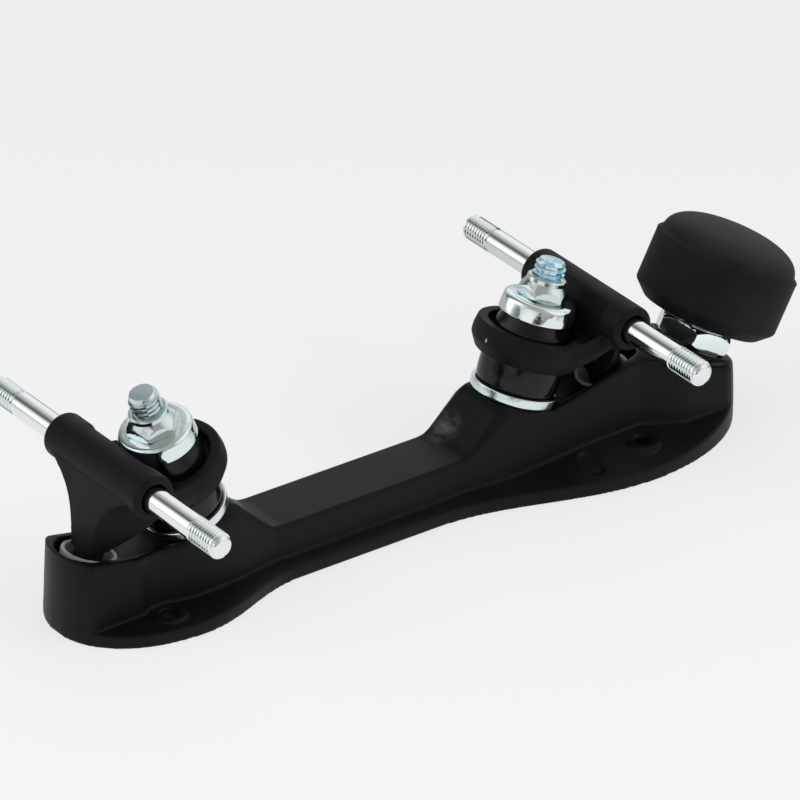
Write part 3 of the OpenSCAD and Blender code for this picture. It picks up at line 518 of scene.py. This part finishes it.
def threadTree():
    tree = bpy.data.node_groups.new("rolled_thread", "GeometryNodeTree")
    tree.interface.new_socket("Geometry", in_out="OUTPUT", socket_type="NodeSocketGeometry")
    sockets = {}
    for name, kind in (("Turns", "Float"), ("Pitch", "Float"), ("Radius", "Float"), ("Depth", "Float"),
                       ("Crest", "Float"), ("Start", "Float"), ("Steps", "Int"), ("Material", "Material")):
        socket = tree.interface.new_socket(name, in_out="INPUT", socket_type="NodeSocket" + kind)
        sockets[name] = socket.identifier
    given = addNode(tree, "NodeGroupInput").outputs
    height = addNode(tree, "ShaderNodeMath", {0: given["Turns"], 1: given["Pitch"]}, operation="MULTIPLY")
    root = addNode(tree, "ShaderNodeMath", {0: given["Radius"], 1: given["Depth"]}, operation="SUBTRACT")
    path = addNode(tree, "GeometryNodeCurveSpiral", {
        "Resolution": given["Steps"], "Rotations": given["Turns"], "Start Radius": root.outputs[0],
        "End Radius": root.outputs[0], "Height": height.outputs[0], "Reverse": True})
    upright = addNode(tree, "GeometryNodeSetCurveNormal", {"Curve": path.outputs[0]}, mode="Z_UP")
    share = addNode(tree, "GeometryNodeSplineParameter").outputs["Factor"]
    rest = addNode(tree, "ShaderNodeMath", {0: 1.0, 1: share}, operation="SUBTRACT")
    closer = addNode(tree, "ShaderNodeMath", {0: share, 1: rest.outputs[0]}, operation="MINIMUM")
    turns = addNode(tree, "ShaderNodeMath", {0: closer.outputs[0], 1: given["Turns"]}, operation="MULTIPLY")
    runOut = addNode(tree, "ShaderNodeMath", {0: turns.outputs[0], 1: 1.0}, operation="MINIMUM")
    thick = addNode(tree, "ShaderNodeMath", {0: runOut.outputs[0], 1: threadForm["thin"]},
                    operation="MAXIMUM")
    sized = addNode(tree, "GeometryNodeSetCurveRadius", {
        "Curve": upright.outputs[0], "Radius": thick.outputs[0]})
    foot = addNode(tree, "ShaderNodeMath", {0: given["Pitch"], 1: threadForm["foot"]}, operation="MULTIPLY")
    crest = addNode(tree, "ShaderNodeMath", {0: given["Pitch"], 1: given["Crest"]}, operation="MULTIPLY")
    ridge = addNode(tree, "GeometryNodeCurvePrimitiveQuadrilateral", {
        "Height": given["Depth"], "Bottom Width": foot.outputs[0], "Top Width": crest.outputs[0],
        "Offset": 0.0}, mode="TRAPEZOID")
    half = addNode(tree, "ShaderNodeMath", {0: given["Depth"], 1: 0.5}, operation="MULTIPLY")
    outward = addNode(tree, "ShaderNodeCombineXYZ", {"X": half.outputs[0]})
    turnedOut = addNode(tree, "GeometryNodeTransform", {  # the crest points away from the axis
        "Geometry": ridge.outputs[0], "Translation": outward.outputs[0], "Rotation": (0, 0, -math.pi / 2)})
    wound = addNode(tree, "GeometryNodeCurveToMesh", {
        "Curve": sized.outputs[0], "Profile Curve": turnedOut.outputs[0], "Fill Caps": True})
    lift = addNode(tree, "ShaderNodeCombineXYZ", {"Z": given["Start"]})
    placed = addNode(tree, "GeometryNodeTransform", {
        "Geometry": wound.outputs[0], "Translation": lift.outputs[0]})
    real = addNode(tree, "GeometryNodeRealizeInstances", {0: placed.outputs[0]})
    painted = addNode(tree, "GeometryNodeSetMaterial", {
        "Geometry": real.outputs[0], "Material": given["Material"]})
    addNode(tree, "NodeGroupOutput", {0: painted.outputs[0]})
    return tree, sockets


threadGroup, threadSocket = threadTree()


def thread(length, pitch, radius, depth, crest, start, material):  # one thread along Z, sizes in mm
    work = bpy.data.objects.new("thread", bpy.data.meshes.new("thread"))
    scene.collection.objects.link(work)
    winding = work.modifiers.new("winding", "NODES")
    winding.node_group = threadGroup
    for name, value in (("Turns", length / pitch), ("Pitch", pitch * mm), ("Radius", radius * mm),
                        ("Depth", depth * mm), ("Crest", crest), ("Start", start * mm),
                        ("Steps", threadForm["steps"]), ("Material", material)):
        winding[threadSocket[name]] = value
    bpy.context.view_layer.update()
    result = bpy.data.meshes.new_from_object(work.evaluated_get(bpy.context.evaluated_depsgraph_get()))
    bpy.data.objects.remove(work)
    return result


def joinOn(form, mesh, number, spot):  # sets a plain mesh in place and adds it to a bmesh that is in place
    mesh.transform(spot)
    before = len(form.faces)
    form.from_mesh(mesh)
    form.faces.ensure_lookup_table()
    for face in form.faces[before:]:
        face.material_index = number
    bpy.data.meshes.remove(mesh)


# axles: drawn rod, threaded at both ends; sizes in mm, crest in pitches
axleRod = {"half": 57.7, "threadR": 4.0, "shankR": 3.96, "threadLen": 12.6, "pitch": 1.25, "depth": 0.76,
           "crest": 0.4, "start": 0.1, "runOut": 0.5, "runIn": 0.3, "rootShadeFrom": 0.4, "point": 1.1,
           "pointStep": 0.4, "pointFall": 0.2, "faceR": 2.7, "bare": 1, "sides": 64}


def makeAxle(end, way):
    rod = axleRod
    tip, root = rod["half"], rod["half"] - rod["threadLen"]
    neck, core = tip - rod["point"], rod["threadR"] - rod["depth"]
    half = [(0, tip, 0), (rod["faceR"], tip, 0.8), (core + rod["pointStep"], neck, 0.4),
            (core, neck - rod["pointFall"], 0), (core, neck - rod["bare"], 0),
            (core, root + rod["runOut"], 0.1), (rod["shankR"], root - rod["runIn"], 0.15)]
    profile = eased([(r, -h, e) for r, h, e in half] + list(reversed(half)))
    spot = axleFrame(way)
    form = turned(profile, spot, rod["sides"])
    inverse = spot.inverted()
    for face in form.faces:  # thread roots: painted shade, a darker zinc in the grooves
        out = abs((inverse @ face.calc_center_median()).z) / mm
        if root + rod["rootShadeFrom"] < out < neck - rod["bare"]:
            face.material_index = 1
    run = rod["threadLen"] - rod["point"] - rod["runOut"]
    for side in (0, 1):
        wound = thread(run, rod["pitch"], rod["threadR"], rod["depth"], rod["crest"], root + rod["start"],
                       finish["axle"])
        joinOn(form, wound, 0, spot @ Matrix.Rotation(math.pi * side, 4, "X"))
    finished(end + "_axle_rod", form, [finish["axle"], finish["root"]], end + "_truck",
             [end + "_axle"], crease["turned"])


# kingpin stacks: bolt, cup washers, cushions, nut; heights in mm along the bolt, from the truck seat
stack = {"pinR": 4.765, "headSeat": -13.5, "headH": 6, "headBevel": 0.5, "flats": 14.29, "pitch": 1.5875,
         "depth": 0.92, "crest": 0.3, "sink": 0.5, "taper": 0.5, "runOut": 0.6, "point": 1.3,
         "pointStep": 0.45, "pointFall": 0.1, "pointRise": 0.25, "faceR": 3.7, "rootSkin": 0.02,
         "faceSkin": 0.03, "sides": 64,
         "front": {"tip": 44.0, "lift": 0.0, "lock": True}, "rear": {"tip": 47.4, "lift": 2.2, "lock": False},
         "bore": 4.965, "sheet": 1.4, "lowR": 13.5, "lowH": 3.2, "upR": 11.9, "upH": 5.7, "upTop": 31.7,
         "flare": 0.7, "shoulder": 1.7, "nutH": 6.8, "footR": 12.0, "lowCushionR": 12.8, "upCushionR": 11.8,
         "waist": 0.25, "waistLow": 1, "waistHigh": 2.2, "topIn": 1, "webLow": 15.4, "webHigh": 19.0,
         "ringTop": 21.9, "upLow": 26.0, "gap": 0.1}


def hexPrism(flats, low, high, bevel):  # hexagon head with chamfered rims
    form = bmesh.new()
    corner, fall = flats / math.sqrt(3), bevel * 0.6  # about 30 degrees
    rows = ((low, corner - bevel), (low + fall, corner), (high - fall, corner), (high, corner - bevel))
    spokes = [(math.cos(math.pi * k / 3), math.sin(math.pi * k / 3)) for k in range(6)]
    rings = [[form.verts.new((r * mm * c, r * mm * s, h * mm)) for c, s in spokes] for h, r in rows]
    form.faces.new(list(reversed(rings[0])))
    form.faces.new(rings[-1])
    for a, b in zip(rings, rings[1:]):
        for k in range(6):
            form.faces.new([a[k], a[(k + 1) % 6], b[(k + 1) % 6], b[k]])
    return form


def makeKingpin(end, way):
    own, spot = stack[end], kingpinFrame(way)
    r, core, tip = stack["pinR"], stack["pinR"] - stack["depth"], own["tip"]
    nutLow, nutTop = stack["upTop"] + own["lift"], stack["upTop"] + own["lift"] + stack["nutH"]
    neck, foot = tip - stack["point"], stack["headSeat"] - stack["sink"]
    profile = eased([(0, foot, 0), (r, foot, 0), (r, nutLow, 0.2), (core, nutLow + stack["taper"], 0.1),
                     (core, neck - stack["pointFall"], 0),
                     (core + stack["pointStep"], neck + stack["pointRise"], 0.15),
                     (stack["faceR"], tip, 0.25), (0, tip, 0)])
    form = turned(profile, spot, stack["sides"])
    head = hexPrism(stack["flats"], stack["headSeat"] - stack["headH"], stack["headSeat"], stack["headBevel"])
    coats = {"bare": finish["bolt"], "thread": finish["lock"] if own["lock"] else finish["bolt"],
             "sheared": finish["sheared"], "root": finish["root"]}
    number = {name: k for k, name in enumerate(coats)}
    joinOn(form, meshFrom(head), number["bare"], spot)
    wound = thread(neck - nutLow - stack["runOut"], stack["pitch"], r, stack["depth"], stack["crest"],
                   nutLow + stack["runOut"], coats["thread"])
    joinOn(form, wound, number["thread"], spot)
    inverse = spot.inverted()
    for face in form.faces:  # roots: painted shade, a darker zinc in the grooves; a lock patch covers the rest of its end, or the sheared face shows
        inside = inverse @ face.calc_center_median()
        high, out = inside.z / mm, math.hypot(inside.x, inside.y) / mm
        if nutTop < high < neck and out < core + stack["rootSkin"]:
            face.material_index = number["root"]
        elif own["lock"] and high > nutTop:
            face.material_index = number["thread"]
        elif high > tip - stack["faceSkin"]:
            face.material_index = number["sheared"]
    finished(end + "_kingpin_bolt", form, list(coats.values()), "plate", [end + "_kingpin"],
             crease["turned"])


def makeCups(end, way):
    own, spot = stack[end], kingpinFrame(way)
    t, bore, r, high = stack["sheet"], stack["bore"], stack["lowR"], stack["lowH"]
    lower = eased([(bore, 0, 0), (r, 0, 0.9), (r, high, 0.45), (r - t, high, 0.45), (r - t, t, 0.5),
                   (bore, t, 0)])
    finished(end + "_seat_cup", turned(lower, spot), finish["cup"], "plate",
             [end + "_lower_washer"], crease["pressed"])
    r, top, flare = stack["upR"], stack["upTop"] + own["lift"], stack["flare"]
    low = top - stack["upH"]
    upper = eased([(bore, top, 0), (r - flare, top, stack["shoulder"]), (r, low, 0.45), (r - t, low, 0.45),
                   (r - t - flare, top - t, 0.5), (bore, top - t, 0)])
    finished(end + "_nut_cup", turned(upper, spot), finish["washer"], "plate",
             [end + "_upper_washer"], crease["pressed"])


def makeCushions(end, way):  # each is held by the plate at one face and by the truck's ring at the other
    own, spot = stack[end], kingpinFrame(way)
    bore, r, foot, cup = stack["bore"], stack["lowCushionR"], stack["footR"], stack["lowH"]
    low, high = stack["sheet"], stack["webLow"] - stack["gap"]
    waist = r - stack["waist"]
    drum = eased([(bore, low, 0), (foot, low, 0.6), (foot, cup, 0.3), (waist, cup + stack["waistLow"], 1),
                  (r, (low + high) / 2, 4), (waist, high - stack["waistHigh"], 1),
                  (r - stack["topIn"], high, 0.8), (bore, high, 0)])
    grip = [end + "_truck", *(spot @ Vector((0, 0, h * mm)) for h in (cup, high))]
    finished(end + "_seat_cushion", turned(drum, spot), finish["urethane"], ["plate", *grip],
             [end + "_lower_bushing"], crease["cushion"])
    base, top = stack["webHigh"] + stack["gap"], stack["upTop"] + own["lift"] - stack["sheet"]
    crown = stack["upR"] - stack["sheet"] - stack["flare"] - stack["gap"]
    r, brim = stack["upCushionR"], stack["upLow"] + own["lift"]
    cone = eased([(bore, base, 0), (r, base, 0.8), (r, stack["ringTop"], 1.6), (crown, brim, 1.2),
                  (crown, top, 0.4), (bore, top, 0)])
    grip = [end + "_truck", *(spot @ Vector((0, 0, h * mm)) for h in (brim, base))]
    finished(end + "_nut_cushion", turned(cone, spot), finish["urethane"], ["plate", *grip],
             [end + "_upper_bushing"], crease["cushion"])


def bevelled(node, width, flat=0.6, turn=24):  # CAD form with its edges broken; angles in degrees
    form = mergedCopy(node)
    bmesh.ops.dissolve_limit(form, angle_limit=math.radians(flat), verts=form.verts, edges=form.edges)
    return withModifiers(form, [("BEVEL", {
        "width": width * mm, "segments": 2, "limit_method": "ANGLE", "angle_limit": math.radians(turn),
        "use_clamp_overlap": True, "miter_outer": "MITER_ARC"})])


broken = {"locknut": 0.25, "socket": 0.4, "jamNut": 0.3, "bush": 0.3}  # width of a broken edge in mm
heelWall = moulding["sole_plate"]["backing"][0][1] * mm
for end, way in (("front", 1), ("rear", -1)):
    makeAxle(end, way)
    makeKingpin(end, way)
    makeCups(end, way)
    makeCushions(end, way)
    finished(end + "_kingpin_locknut", bevelled(end + "_kingpin_nut", broken["locknut"]), finish["nut"],
             "plate", [end + "_kingpin_nut"], crease["cut"])
    socket = bevelled(end + "_pivot_cup", broken["socket"])
    for v in socket.vertices:  # kept off the heel wall
        v.co.x = max(v.co.x, heelWall)
    finished(end + "_pivot_socket", socket, finish["acetal"], "plate", [end + "_pivot_cup"],
             crease["cut"])
    print(end, "truck dressed")


# toe stop: domed rubber on a screwed stem, held by a jam nut; heights in mm along the stem, crest in pitches
toeStop = {"footR": 18.6, "edgeR": 23.0, "lipR": 23.3, "low": 8.2, "edge": 12.3, "lip": 29.1, "dome": 9.4,
           "step": 1.5, "domePower": 0.8, "domeSteps": 24, "brim": 0.4, "coveIn": 0.15, "coveUp": 1.1,
           "flare": 2.4, "flash": 0.14, "flashIn": 0.1, "flashFall": 0.3, "flashHigh": 0.12, "flashDeep": 0.4,
           "ragged": 14, "fit": 0.05, "bond": 0.3, "stemR": 7.94, "stemIn": 12.4, "lead": 0.8, "leadIn": 0.6,
           "discT": 3, "discR": 15.6, "pitch": 2.309, "depth": 0.9, "crest": 0.4, "domeSides": 192,
           "stemSides": 64}


def makeDome():
    s = toeStop
    inner, power, steps = s["lipR"] - s["step"], s["domePower"], s["domeSteps"]
    first = math.asin((s["flare"] / s["dome"]) ** (1 / power))
    dome = []
    for k in range(steps + 1):  # dome set in behind the parting lip
        a = first + (math.pi / 2 - first) * k / steps
        r, h = inner * max(0, math.cos(a)) ** power, s["lip"] + s["dome"] * math.sin(a) ** power
        dome.append(Vector((r, h)))
    dome[-1].x = 0
    rim = s["lipR"] - s["flash"]
    side = [(s["stemR"] + s["fit"], s["low"], 0), (s["footR"], s["low"], 0.8), (s["edgeR"], s["edge"], 0.7),
            (rim - s["flashIn"], s["lip"] - s["flashFall"], 0.1), (rim, s["lip"], 0.15),
            (s["lipR"] - s["brim"], s["lip"] + s["brim"], 0.3),
            (inner + s["coveIn"], s["lip"] + s["coveUp"], 0.8), (dome[0].x, dome[0].y, 0)]
    outside = eased(side)[:-1] + dome
    form = turned(outside, Matrix(), s["domeSides"])
    for v in form.verts:  # moulding flash: a thin ragged edge on the lip
        r = math.hypot(v.co.x, v.co.y)
        if abs(v.co.z - s["lip"] * mm) < s["flashHigh"] * mm and r > (s["lipR"] - s["flashDeep"]) * mm:
            spread = 1 + s["flash"] * mm / r * noise.noise(v.co.normalized() * s["ragged"])
            v.co.x, v.co.y = v.co.x * spread, v.co.y * spread
    form.transform(stopFrame)
    discR, discTop, discLow = s["discR"] + s["fit"], s["edge"] + s["discT"] + s["bond"], s["edge"] - s["bond"]
    hollow = [Vector((0, discTop)), Vector((discR, discTop)), Vector((discR, discLow)),
              Vector((s["stemR"] + s["fit"], discLow)), outside[0]]
    socket = turned(hollow, stopFrame, s["domeSides"])  # bonding hollow round the disc
    bmesh.ops.reverse_faces(socket, faces=socket.faces)
    joinOn(form, meshFrom(socket), 0, Matrix())
    bmesh.ops.remove_doubles(form, verts=form.verts, dist=merge)
    finished("toe_stop_dome", form, finish["rubber"], "toe_stop_pad", ["toe_stop_rubber"],
             crease["moulded"])


def makeStem():
    s = toeStop
    core, foot, discTop = s["stemR"] - s["depth"], -s["stemIn"], s["edge"] + s["discT"]
    stem = eased([(0, foot, 0), (core - s["leadIn"], foot, 0.3), (core, foot + s["lead"], 0.2),
                  (core, s["edge"], 0), (s["discR"], s["edge"], 0.4), (s["discR"], discTop, 0.4),
                  (0, discTop, 0)])
    form = turned(stem, stopFrame, s["stemSides"])
    wound = thread(s["stemIn"] + s["edge"] - 2 * s["lead"], s["pitch"], s["stemR"], s["depth"], s["crest"],
                   s["lead"] - s["stemIn"], finish["bolt"])
    joinOn(form, wound, 0, stopFrame)
    finished("toe_stop_screw", form, finish["bolt"], "toe_stop_post", ["toe_stop_stem"],
             crease["turned"])


makeDome()
makeStem()
finished("toe_stop_jam_nut", bevelled("toe_stop_nut", broken["jamNut"]), finish["jam"], "plate",
         ["toe_stop_nut"], crease["cut"])
finished("toe_stop_bush", bevelled("toe_stop_insert", broken["bush"]), finish["nut"], "plate",
         ["toe_stop_insert"], crease["cut"])
print("toe stop dressed")


# floor: pale paper, matt, greyer to the back; distances in metres along the way that leads away
paperFloor = {"near": "#f6f6f7", "far": "#eeeff1", "half": 6, "away": (0.6, 0.8, 0), "fade": (-0.15, 0.35),
              "show": 0.7, "glow": 1.09, "mirrored": 0.5, "dim": (0.0, 0.2)}


def makeFloor():
    look, half = paperFloor, paperFloor["half"]
    mesh = bpy.data.meshes.new("floor")
    corners = [(-half, -half, 0), (half, -half, 0), (half, half, 0), (-half, half, 0)]
    mesh.from_pydata(corners, [], [(0, 1, 2, 3)])
    floor = bpy.data.objects.new("floor", mesh)
    scene.collection.objects.link(floor)
    material, tree, where = newMaterial("paper_sweep_pale")
    away = addNode(tree, "ShaderNodeVectorMath", {0: where, 1: look["away"]}, operation="DOT_PRODUCT")
    fade = addNode(tree, "ShaderNodeMapRange", {
        "Value": away.outputs["Value"], "From Min": look["fade"][0], "From Max": look["fade"][1]})
    tint = addNode(tree, "ShaderNodeMix", {
        0: fade.outputs[0], 6: hexColor(look["near"]), 7: hexColor(look["far"])}, data_type="RGBA")
    paper = addNode(tree, "ShaderNodeBsdfDiffuse", {"Color": tint.outputs[2]})
    ray = addNode(tree, "ShaderNodeLightPath").outputs
    dim = addNode(tree, "ShaderNodeMapRange", {  # what metal mirrors gets darker to the back
        "Value": away.outputs["Value"], "From Min": look["dim"][0], "From Max": look["dim"][1],
        "To Min": look["glow"], "To Max": look["mirrored"]})
    level = addNode(tree, "ShaderNodeMix", {0: ray["Is Glossy Ray"], 2: look["glow"], 3: dim.outputs[0]})
    glow = addNode(tree, "ShaderNodeEmission", {"Color": tint.outputs[2], "Strength": level.outputs[0]})
    seen = addNode(tree, "ShaderNodeMath", {0: ray["Is Camera Ray"], 1: ray["Is Glossy Ray"]},
                   operation="MAXIMUM")
    share = addNode(tree, "ShaderNodeMath", {0: seen.outputs[0], 1: look["show"]}, operation="MULTIPLY")
    both = addNode(tree, "ShaderNodeMixShader", {
        0: share.outputs[0], 1: paper.outputs[0], 2: glow.outputs[0]})
    addNode(tree, "ShaderNodeOutputMaterial", {"Surface": both.outputs[0]})
    mesh.materials.append(material)


# studio walls: bright far left, a gap, paler far right, quiet near side; edges as parts of a direction
# fields: direction, closeness at which it starts and is full, and strength, below zero for a dark one
walls = {"strength": 1.0, "near": 0.42, "farLeft": 1.25, "farGap": 0.14, "farRight": 0.95, "rim": 0.55,
         "least": 0.04, "backdrop": 0.85, "leftEdge": (-0.58, -0.34), "rightEdge": (-0.2, 0.45),
         "nearEdge": (-0.3, 0.4), "rimEdge": (0.02, 0.1),
         "fields": (((0.62, -0.62, 0.45), 0.75, 0.97, 0.6), ((-0.87, -0.48, 0.08), 0.88, 0.97, 0.55),
                    ((-0.95, 0.28, 0.12), 0.94, 0.985, -0.8), ((-0.60, -0.80, 0.0), 0.972, 0.985, -0.9))}


def makeWalls():
    look = walls
    world = bpy.data.worlds.new("studio")
    scene.world = world
    world.use_nodes = True
    tree = world.node_tree
    tree.nodes.clear()
    way = addNode(tree, "ShaderNodeTexCoord").outputs["Generated"]
    axis = addNode(tree, "ShaderNodeSeparateXYZ", {0: way}).outputs
    left = addNode(tree, "ShaderNodeMapRange", {
        "Value": axis["X"], "From Min": look["leftEdge"][0], "From Max": look["leftEdge"][1],
        "To Min": look["farLeft"], "To Max": look["farGap"]})
    right = addNode(tree, "ShaderNodeMapRange", {
        "Value": axis["X"], "From Min": look["rightEdge"][0], "From Max": look["rightEdge"][1],
        "To Min": look["farGap"], "To Max": look["farRight"]})
    far = addNode(tree, "ShaderNodeMath", {0: left.outputs[0], 1: right.outputs[0]}, operation="MAXIMUM")
    total = addNode(tree, "ShaderNodeMapRange", {
        "Value": axis["Y"], "From Min": look["nearEdge"][0], "From Max": look["nearEdge"][1],
        "To Min": look["near"], "To Max": far.outputs[0]})
    for spot, start, full, strength in look["fields"]:
        close = addNode(tree, "ShaderNodeVectorMath", {0: way, 1: Vector(spot).normalized()},
                        operation="DOT_PRODUCT")
        field = addNode(tree, "ShaderNodeMapRange", {
            "Value": close.outputs["Value"], "From Min": start, "From Max": full, "To Max": strength})
        total = addNode(tree, "ShaderNodeMath", {0: total.outputs[0], 1: field.outputs[0]}, operation="ADD")
    rim = addNode(tree, "ShaderNodeMapRange", {  # dark line where the paper ends
        "Value": axis["Z"], "From Min": look["rimEdge"][0], "From Max": look["rimEdge"][1],
        "To Min": look["rim"]})
    total = addNode(tree, "ShaderNodeMath", {0: total.outputs[0], 1: rim.outputs[0]}, operation="MULTIPLY")
    total = addNode(tree, "ShaderNodeMath", {0: total.outputs[0], 1: look["least"]}, operation="MAXIMUM")
    sky = addNode(tree, "ShaderNodeBackground", {"Color": total.outputs[0], "Strength": look["strength"]})
    ray = addNode(tree, "ShaderNodeLightPath").outputs
    plain = addNode(tree, "ShaderNodeBackground", {"Color": (1, 1, 1, 1), "Strength": look["backdrop"]})
    shown = addNode(tree, "ShaderNodeMixShader", {
        0: ray["Is Camera Ray"], 1: sky.outputs[0], 2: plain.outputs[0]})
    addNode(tree, "ShaderNodeOutputWorld", {"Surface": shown.outputs[0]})


# lamps: place, size and power, in metres and watts
lamps = {"softbox_left": ((-0.9, 0.35, 0.95), (0.9, 0.7), 1.5),
         "softbox_front": ((0.7, -1.2, 1.1), (0.6, 0.6), 4)}
lampAim = Vector((0, 0, 0.03))


def makeLamps():
    for name, (spot, size, power) in lamps.items():
        data = bpy.data.lights.new(name, "AREA")
        data.shape = "RECTANGLE"
        data.size, data.size_y = size
        data.energy = power
        lamp = bpy.data.objects.new(name, data)
        lamp.location = spot
        lamp.visible_glossy = False
        lamp.rotation_euler = (lampAim - Vector(spot)).to_track_quat("-Z", "Y").to_euler()
        scene.collection.objects.link(lamp)


makeFloor()
makeWalls()
makeLamps()
print("studio lit")
